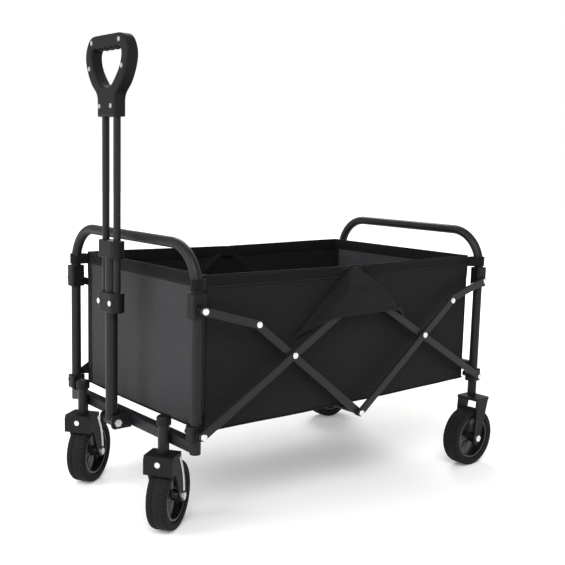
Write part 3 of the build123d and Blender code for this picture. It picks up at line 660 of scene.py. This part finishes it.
def floor_point(u, h):
    """A point of the floor: u along, h across from -1 to 1. It reaches the side walls' feet.
    Stiffened pads stand up between sewn folds, and the whole sags a little."""
    gap, pad_high, sag_deep = 2 * MM, 5 * MM, 5 * MM
    x = BASKET_FRONT + gap + u * (BASKET_REAR - BASKET_FRONT - 2 * gap)
    across_fold = np.abs(np.sin(np.pi * FLOOR_FOLDS * u))
    rim = smoothstep((1 - np.abs(h)) / 0.06)
    pad = smoothstep(across_fold / 0.22) * rim
    sag = sag_deep * np.sin(np.pi * u) * np.cos(np.pi * h / 2)
    z = BASKET_FOOT + gap + pad_high * pad - sag
    foot = WALL_Y + side_out(x, np.full_like(x, BASKET_FOOT))
    return np.stack([x, h * foot, z], -1)


class WAGON_OT_floor(bpy.types.Operator):
    """Lay the basket's floor, with its sewn folds"""

    bl_idname = "wagon.floor_cloth"
    bl_label = "Basket floor"

    def execute(self, context):
        cloth = basket()
        u, h = grid(260, 110)
        size = (BASKET_REAR - BASKET_FRONT, 2 * WALL_Y)
        uv = np.stack([u * size[0], h * size[1]], -1)
        sheet = make("basket_floor_cloth", [Patch(floor_point(u, 2 * h - 1), uv=uv)],
                     finish("cloth"), "front_frame", cloth.cloth)
        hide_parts("basket_floor")
        across = np.linspace(-0.93, 0.93, 120)
        beside = 0.014  # from a fold to its seams, as a share of the floor's length
        rows = []
        for fold in range(1, FLOOR_FOLDS):
            for step in (-beside, beside):
                line = floor_point(np.full_like(across, fold / FLOOR_FOLDS + step), across)
                rows += stitches(line + [0, 0, 0.7 * MM], (0, 0, 1), cloth.stitch)
        sewing = make("floor_stitching", rows, finish("thread"), "front_frame")
        for piece in (sheet, sewing):
            fold_with_sides(piece)
        return {"FINISHED"}


def flap_edge(q):
    """Height and reach of the flap's lower edge at a distance q from the arch: level and standing
    out where it passes over the arms, then down along their upper edges against the wall."""
    cloth = basket()
    over_arm, blend = 11 * MM, 5 * MM
    fade_from, fade_over = 78 * MM, 82 * MM
    slope = (ARCH.z - CROSSING_Z) / CROSSING_REACH
    arm_top = ARCH.z - slope * q + over_arm
    base = ARCH.z - cloth.flap_drop
    gap = base - arm_top
    height = base - (gap + np.hypot(gap, blend)) / 2
    reach = cloth.flap_reach * (1 - smoothstep((q - fade_from) / fade_over))
    return height, reach


def flap_point(s, t, side):
    """A point of the flap: s across from -1 to 1, t from the tip at the hem (0) to the lower edge
    (1). Each s is a straight fall from the tip to the edge, that slants out over the top of the
    arms in its upper part and hangs straight below them."""
    q = s * FLAP_HALF
    height, reach = flap_edge(np.abs(q))
    tip, on_wall = BASKET_TOP - 6 * MM, 1.3 * MM
    slant_end, bend = 0.42, 0.12  # where the slant ends, and how softly, in t
    x = MIDDLE_X + q * (FLAP_TIP + (1 - FLAP_TIP) * t)
    z = tip + (height - tip) * t
    rise = t / slant_end - 1
    over = 1 + (rise - np.hypot(rise, bend)) / 2
    slack = 1.2 * MM * np.sin(7 * s + 2) * np.sin(np.pi * t) * (1 - np.abs(s))
    out = WALL_Y + on_wall + (reach + slack) * over
    lift = np.maximum(side_out(x, z), 0) * (1 - reach / basket().flap_reach)
    return np.stack([x, side * (out + lift), z], -1)


class WAGON_OT_flaps(bpy.types.Operator):
    """Drape the flaps that cover the arches at the middle of the sides"""

    bl_idname = "wagon.flaps"
    bl_label = "Arch flaps"

    def execute(self, context):
        cloth = basket()
        s, t = grid(200, 70)
        s = 2 * s - 1
        for side, word in SIDES:
            uv = np.stack([s * FLAP_HALF * (FLAP_TIP + (1 - FLAP_TIP) * t), t * 0.1], -1)
            flap = make(f"arch_flap_{word}", [Patch(flap_point(s, t, side), uv=uv)],
                        finish("cloth"), "front_frame", cloth.cloth)
            along = np.linspace(-1, 1, 160)
            line = flap_point(along, np.ones_like(along), side) + [0, 0, 3 * MM]
            edge = make(f"arch_flap_hem_{word}", [
                carry(oblong(2.2 * MM, 7 * MM, 0.9 * MM), line, (0, 0, 1))
            ], finish("cloth"), "front_frame")
            for piece in (flap, edge):
                fold_with_sides(piece)
        return {"FINISHED"}


def loop_path(centre, reach, tight, turns=14):
    """A closed loop round a post and through a corner point: two arcs, one round each end, as the
    hull of the two circles."""
    centre, reach = np.asarray(centre, float), np.asarray(reach, float)
    gap = reach - centre
    distance, heading = np.hypot(*gap), math.atan2(gap[1], gap[0])
    big, small = tight
    lean = math.acos((big - small) / distance)
    round_post = np.linspace(heading + lean, heading + 2 * np.pi - lean, 2 * turns)
    round_tip = np.linspace(heading - lean, heading + lean, turns)
    post = centre + big * np.stack([np.cos(round_post), np.sin(round_post)], -1)
    tip = reach + small * np.stack([np.cos(round_tip), np.sin(round_tip)], -1)
    return np.concatenate([post, tip])


class WAGON_OT_straps(bpy.types.Operator):
    """Loop the corner webbing round the posts, and tie the lower corners back with tabs"""

    bl_idname = "wagon.corner_webbing"
    bl_label = "Corner webbing"

    def execute(self, context):
        width, tab = basket().webbing, basket().tab
        thick, edge = 1.6 * MM, 0.7 * MM
        clear, tip = 1.2 * MM, 2.2 * MM  # the loop's gap round the post, its radius at the corner
        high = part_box("front_corner_fittings")[1].z + 3 * MM + width / 2
        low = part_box("front_pivot_fittings")[1].z + 1 * MM + tab / 2
        for post_x, corner_x, word, body in (
            (FRONT_X, BASKET_FRONT, "front", "front_frame"),
            (REAR_X, BASKET_REAR, "rear", "rear_frame"),
        ):
            loops, tabs = [], []
            for side, _ in SIDES:
                post = np.array([post_x, side * POST_Y])
                corner = np.array([corner_x, side * (WALL_Y - 2 * MM)])
                flat = loop_path(post, corner, (POST_R + clear, tip))
                path = np.column_stack([flat, np.full(len(flat), high)])
                loops.append(carry(oblong(thick, width, edge), path, (0, 0, 1), closed=True))
                toward = (corner - post) / np.linalg.norm(corner - post)
                flat = np.linspace(post + POST_R * toward, corner, 8)
                path = np.column_stack([flat, np.full(len(flat), low)])
                tabs.append(carry(oblong(thick, tab, edge), path, (0, 0, 1)))
            for level, patches in (("upper", loops), ("lower", tabs)):
                piece = make(f"{word}_{level}_webbing", patches, finish("webbing"), body)
        return {"FINISHED"}


# ---------------------------------------------------------------- wheels
def wheel_axes(joint):
    """A wheel's centre, its axle's direction and its forward direction."""
    centre, axle = Vector(JOINTS[joint]["pos_m"]), Vector(JOINTS[joint]["axis"]).normalized()
    return np.array(centre), np.array(axle), np.array(Vector((0, 0, 1)).cross(axle).normalized())


def turned(joint, angle, radius, across):
    """Points at an angle round a wheel's axle, a radius from it and a distance along it."""
    centre, axle, ahead = wheel_axes(joint)
    spoke = np.cos(angle)[..., None] * ahead + np.sin(angle)[..., None] * np.array([0, 0, 1.0])
    return centre + radius[..., None] * spoke + across[..., None] * axle


WHEELS = [
    (f"{end}_wheel_spin_{word}", f"{end}_{{}}_{word}", f"{end}_wheel_{word}")
    for end in ("front", "rear") for _, word in SIDES
]


def tyre_surface(groove, blocks):
    """Angle, radius and place across for a grid of points on a tyre. The section is a superellipse,
    so its crown and shoulders are soft corners. Two grooves run round the crown, notches cut the
    shoulders into blocks, and each sidewall is sunk but for a raised ring."""
    around, section = 8 * blocks, 72
    angle, turn = np.meshgrid(
        np.arange(around) * 2 * np.pi / around, np.arange(section) * 2 * np.pi / section,
        indexing="ij",
    )
    power = 4.5
    groove_at, shoulder_at = WHEEL_HALF * 0.36, WHEEL_HALF * 0.5
    ring_r, sunk = WHEEL_R - 8 * MM, 0.6 * MM
    bend = 2 / power
    c, s = np.cos(turn), np.sin(turn)
    across = WHEEL_HALF * np.sign(c) * np.abs(c) ** bend
    inner = HUB_R - 0.5 * MM
    rise = (WHEEL_R - inner) / 2
    radius = inner + rise + rise * np.sign(s) * np.abs(s) ** bend
    outer = smoothstep((radius - (WHEEL_R - 2.5 * MM)) / (1.5 * MM))
    cut = np.exp(-(((np.abs(across) - groove_at) / (1.3 * MM)) ** 4))
    shoulder = smoothstep((np.abs(across) - shoulder_at) / (1.5 * MM))
    notch = smoothstep((np.cos(blocks * angle + np.sign(across) * 1.2) - 0.35) / 0.3) * shoulder
    radius = radius - groove * outer * np.maximum(cut, notch)
    sidewall = np.abs(c) > 0.7
    ring = np.exp(-(((radius - ring_r) / (1.2 * MM)) ** 2)) * sidewall
    uv = np.stack([angle * WHEEL_R, turn * WHEEL_HALF], -1)
    return angle, radius, across - np.sign(c) * sunk * (1 - ring) * sidewall, uv


class WAGON_OT_tyres(bpy.types.Operator):
    """Mould the four tyres, with two grooves and notched shoulders"""

    bl_idname = "wagon.tyres"
    bl_label = "Tyres"

    def execute(self, context):
        angle, radius, across, uv = tyre_surface(wheels().groove, wheels().blocks)
        for joint, node, body in WHEELS:
            points = turned(joint, angle, radius, across)
            piece = make(node.format("tyre_tread"), [Patch(points, wrap=(True, True), uv=uv)],
                         finish("tyre"), body, sharp=35)
            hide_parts(node.format("tyre"))
        return {"FINISHED"}


def hub_surface(ribs, web):
    """Angle, radius and place across for a grid of points on a hub. Its half thickness is the
    largest of a flat web, wedge ribs that widen outwards, the boss round the bore and the rim,
    whose outer edge is eased."""
    around = 300
    bore, boss, boss_half = 4.2 * MM, 11 * MM, 20.5 * MM
    rim_in, rim_half, rib_half = HUB_R - 5 * MM, 16 * MM, 10.5 * MM
    rib_root, rib_spread, rib_slope, rib_fall = 3.5 * MM, 0.16, 3.5 * MM, 3 * MM
    radii = np.concatenate([
        np.linspace(bore, boss, 8)[:-1], np.linspace(boss, rim_in, 38),
        np.linspace(rim_in, HUB_R, 10)[1:],
    ])
    angle, radius = np.meshgrid(np.arange(around) * 2 * np.pi / around, radii, indexing="ij")
    # Angle from the nearest rib, as a distance round the hub.
    turn = (angle * ribs / (2 * np.pi) + 0.5) % 1 - 0.5
    away = np.abs(turn) * 2 * np.pi / ribs * radius
    width = rib_root + rib_spread * (radius - boss)
    rib = 1 - smoothstep((away - width) / rib_slope)
    dish = (rib_half - rib_fall * (radius - boss) / (rim_in - boss) - web) * rib
    half = web + dish
    half = np.maximum(half, boss_half * (1 - smoothstep((radius - boss + 2 * MM) / (3 * MM))))
    half = np.maximum(half, rim_half * smoothstep((radius - rim_in + 3 * MM) / (3 * MM)))
    half = half - 1.2 * MM * smoothstep((radius - HUB_R + 2 * MM) / (2 * MM))
    both = np.concatenate([radius, radius[:, ::-1]], 1)
    return np.concatenate([angle, angle], 1), both, np.concatenate([half, -half[:, ::-1]], 1)


class WAGON_OT_hubs(bpy.types.Operator):
    """Mould the four hubs, with a web, wedge ribs, a rim and a boss"""

    bl_idname = "wagon.hubs"
    bl_label = "Hubs"

    def execute(self, context):
        surface = hub_surface(wheels().ribs, wheels().web)
        for joint, node, body in WHEELS:
            piece = make(node.format("hub_moulding"),
                         [Patch(turned(joint, *surface), wrap=(True, True))],
                         finish("hub"), body, sharp=30)
            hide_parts(node.format("hub"))
        return {"FINISHED"}


class WAGON_OT_fork_edges(bpy.types.Operator):
    """Fit the bright strips along the back edges of the casters' legs"""

    bl_idname = "wagon.fork_edges"
    bl_label = "Fork edges"

    def execute(self, context):
        width, bow = wheels().strip, wheels().bow
        leg_face = 27.5 * MM  # from the wheel's middle to just past a leg's outer face
        under_top, over_axle = 6 * MM, 9 * MM
        start_back, past_axle = 8 * MM, 5 * MM
        t = np.linspace(0, 1, 40)
        for _, word in SIDES:
            centre, axle, _ = wheel_axes(f"front_wheel_spin_{word}")
            stem = np.array(JOINTS[f"caster_swivel_{word}"]["pos_m"])
            trail = (centre - stem) * [1, 1, 0]
            reach = np.linalg.norm(trail)
            back = trail / reach
            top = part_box(f"front_fork_{word}")[1].z - under_top
            along = start_back * (1 - t) + (reach + past_axle) * t + bow * np.sin(np.pi * t)
            height = top + (centre[2] + over_axle - top) * t
            strips = []
            for face in (-1, 1):
                path = [*stem[:2], 0] + along[:, None] * back + [0, 0, 1] * height[:, None]
                path = path + face * leg_face * axle
                strips.append(carry(oblong(width, 1.6 * MM, 0.7 * MM), path, face * axle))
            piece = make(f"caster_strip_{word}", strips, finish("zinc"), f"caster_{word}")
        return {"FINISHED"}


# ---------------------------------------------------------------- finishes on the CAD nodes
COATS = {
    "steel": ["front_hoop", "rear_hoop", "front_bar", "rear_bar", "caster_sleeves", "handle_bracket",
              "handle_centre_tube", "handle_barrel", "handle_rods", "bottom_centre_rod",
              "caster_stem_left", "caster_stem_right"],
    "links": ["front_long_link_left", "front_long_link_right", "rear_long_link_left",
              "rear_long_link_right", "front_cross_link_left", "front_cross_link_right",
              "rear_cross_link_left", "rear_cross_link_right", "front_short_links", "rear_short_links"],
    "moulding": ["front_corner_fittings", "rear_corner_fittings", "front_pivot_fittings",
                 "rear_pivot_fittings", "caster_caps", "handle_guide", "handle_slider",
                 "front_fork_left", "front_fork_right", "rear_fork_left", "rear_fork_right"],
    "grip": ["grip_front", "grip_back"],
    "zinc": ["front_post_rivets", "rear_post_rivets", "front_link_rivets", "rear_link_rivets",
             "front_short_link_rivets", "rear_cross_link_rivets", "slider_rivets", "grip_screws",
             "handle_bolt", "front_fork_bolts_left", "front_fork_bolts_right", "rear_axle_bolts"],
}


class WAGON_OT_coats(bpy.types.Operator):
    """Give the tubes, links, mouldings and rivets their finishes"""

    bl_idname = "wagon.coats"
    bl_label = "Finishes"

    def execute(self, context):
        coated = set()
        for name, nodes in COATS.items():
            for node in nodes:
                mesh = frame["nodes"][node].data
                mesh.materials.clear()
                mesh.materials.append(finish(name))
                coated.add(node)
        plain = [n for n, o in frame["nodes"].items() if n not in coated and not o.hide_render]
        if plain:
            raise RuntimeError(f"these nodes have no finish: {plain}")
        return {"FINISHED"}


# ---------------------------------------------------------------- studio
LIGHTS = (  # name, where it stands, what it faces, its size in metres, its power in watts
    ("key", (-2.2, -2.4, 3.0), (0, 0, 0.2), 2.2, 120),
    ("front_fill", (-3.2, 0.6, 1.6), (0, 0, 0.3), 2.0, 60),
    ("rim", (1.8, 2.4, 2.6), (0, 0, 0.3), 2.0, 70),
)
FLOOR_R = 14  # metres
CAMERA_AT = (MIDDLE_X - 1.1888, -1.4106, 0.6546)
CAMERA_AIM = (MIDDLE_X - 0.2341, -0.2722, 0.448)
CAMERA_ROLL = 1.5  # degrees
CAMERA_LENS, CAMERA_SENSOR = 56.6, 36  # millimetres


def light(name, place_at, aim, size, power):
    data = bpy.data.lights.new(name, "AREA")
    data.energy, data.size, data.shape = power, size, "DISK"
    lamp = bpy.data.objects.new(name, data)
    bpy.context.scene.collection.objects.link(lamp)
    lamp.location = place_at
    lamp.rotation_euler = (Vector(aim) - Vector(place_at)).to_track_quat("-Z", "Y").to_euler()


class WAGON_OT_studio(bpy.types.Operator):
    """Set up the pale floor, the soft lights and the camera"""

    bl_idname = "wagon.studio"
    bl_label = "Studio"

    def execute(self, context):
        scene = context.scene
        ring, angle = np.meshgrid(
            np.linspace(0, 1, 24) ** 2 * FLOOR_R, np.arange(64) * np.pi / 32, indexing="ij",
        )
        flat = np.stack([ring * np.cos(angle), ring * np.sin(angle), np.zeros_like(ring)], -1)
        paint = backdrop("painted_studio_floor", colours().floor)
        floor = make("studio_floor", [Patch(flat, wrap=(False, True))], paint)
        world = bpy.data.worlds.new("studio")
        world.use_nodes = True
        background = world.node_tree.nodes["Background"]
        background.inputs["Color"].default_value = (1, 1, 1, 1)
        # The backdrop is seen as white, and lights the wagon a little less than that.
        seen = add(world, "ShaderNodeLightPath").outputs["Is Camera Ray"]
        strength = add(world, "ShaderNodeMapRange", {0: seen, 3: 0.7, 4: 1.0})
        world.node_tree.links.new(strength.outputs[0], background.inputs["Strength"])
        scene.world = world
        scene.view_settings.view_transform = "Standard"
        for each in LIGHTS:
            light(*each)
        lens = bpy.data.cameras.new("camera")
        camera = bpy.data.objects.new("camera", lens)
        scene.collection.objects.link(camera)
        scene.camera = camera
        camera.location = CAMERA_AT
        level = (Vector(CAMERA_AIM) - camera.location).to_track_quat("-Z", "Y")
        roll = Quaternion((0, 0, 1), math.radians(CAMERA_ROLL))
        camera.rotation_euler = (level @ roll).to_euler()
        lens.lens, lens.sensor_width = CAMERA_LENS, CAMERA_SENSOR
        lens.clip_start, lens.clip_end = 0.05, 60
        return {"FINISHED"}


OPERATORS = (
    WAGON_OT_side_walls, WAGON_OT_end_walls, WAGON_OT_floor, WAGON_OT_flaps, WAGON_OT_straps,
    WAGON_OT_tyres, WAGON_OT_hubs, WAGON_OT_fork_edges, WAGON_OT_coats, WAGON_OT_studio,
)


class WAGON_PT_panel(bpy.types.Panel):
    """The wagon's steps and settings in the sidebar"""

    bl_idname = "WAGON_PT_panel"
    bl_label = "Folding camp wagon"
    bl_space_type = "VIEW_3D"
    bl_region_type = "UI"
    bl_category = "Wagon"

    def draw(self, context):
        for operator in OPERATORS:
            self.layout.operator(operator.bl_idname)
        for group in (basket(), wheels(), colours()):
            box = self.layout.box()
            for name in group.bl_rna.properties.keys():
                if name not in ("rna_type", "name"):
                    box.prop(group, name)


GROUPS = {
    "wagon_basket": BasketSettings,
    "wagon_wheels": WheelSettings,
    "wagon_colours": ColourSettings,
}
CLASSES = (*GROUPS.values(), *OPERATORS, WAGON_PT_panel)


def register():
    for each in CLASSES:
        bpy.utils.register_class(each)
    for name, group in GROUPS.items():
        setattr(bpy.types.Scene, name, bpy.props.PointerProperty(type=group))


def unregister():
    for name in GROUPS:
        delattr(bpy.types.Scene, name)
    for each in reversed(CLASSES):
        bpy.utils.unregister_class(each)


def main():
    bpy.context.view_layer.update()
    register()
    for operator in OPERATORS:
        group, name = operator.bl_idname.split(".")
        getattr(getattr(bpy.ops, group), name)()
    bpy.context.view_layer.update()


if __name__ == "__main__":
    main()
